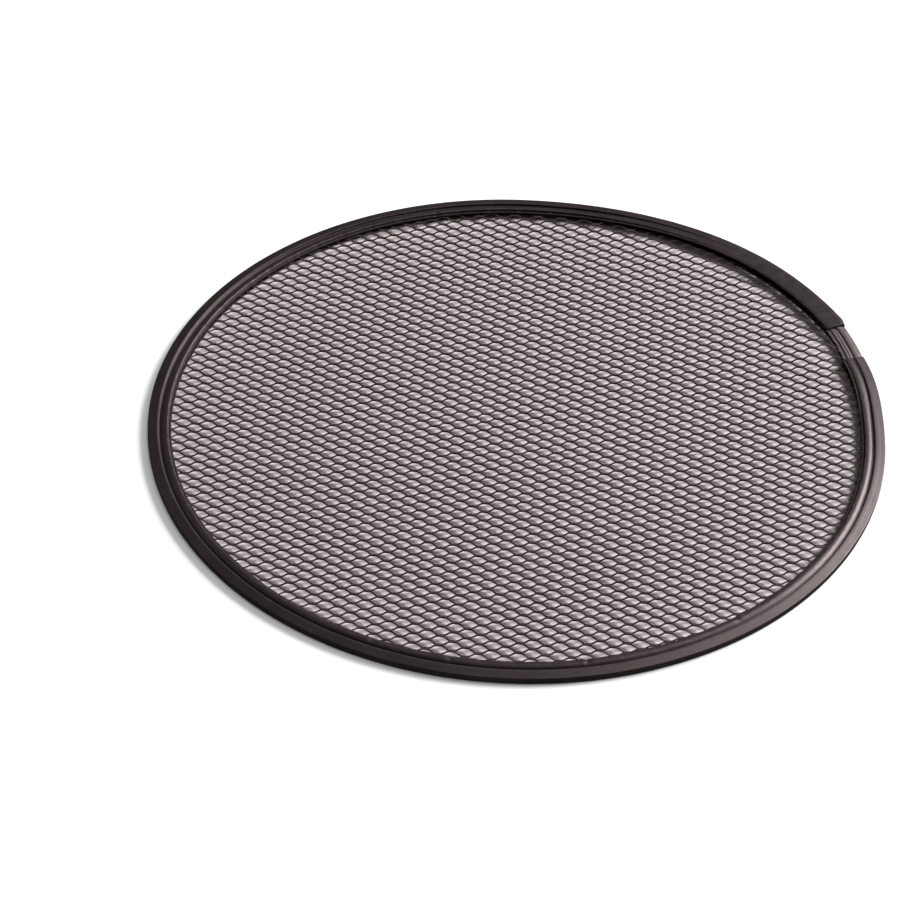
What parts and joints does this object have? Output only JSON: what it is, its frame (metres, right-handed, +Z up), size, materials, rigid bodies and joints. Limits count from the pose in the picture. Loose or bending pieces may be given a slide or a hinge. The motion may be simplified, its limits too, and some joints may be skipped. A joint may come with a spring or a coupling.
{
  "type": "round grate",
  "caption": "Round fire-pit grate: a flat disc of diamond expanded metal held in a folded, beaded channel rim with a spliced joint.",
  "frame": {"origin": "centre of the disc, on the plane that the hoop's underside rests on", "axes": "+Z up, along the disc's axis; the joint in the hoop lies between about 20 and 28 degrees from +X towards +Y"},
  "size_m": [0.356, 0.356, 0.0044],
  "materials": {
    "rim_coating": "dark brown-black hard coat, satin",
    "splice_coating": "thinner, greyer coat, satin, rubbed",
    "mesh_coating": "dark brown-black hard coat, satin"
  },
  "bodies": {
    "root": {"rim_hoop": "rim_coating", "splice_insert": "splice_coating", "mesh_panel": "mesh_coating"}
  },
  "joints": []
}
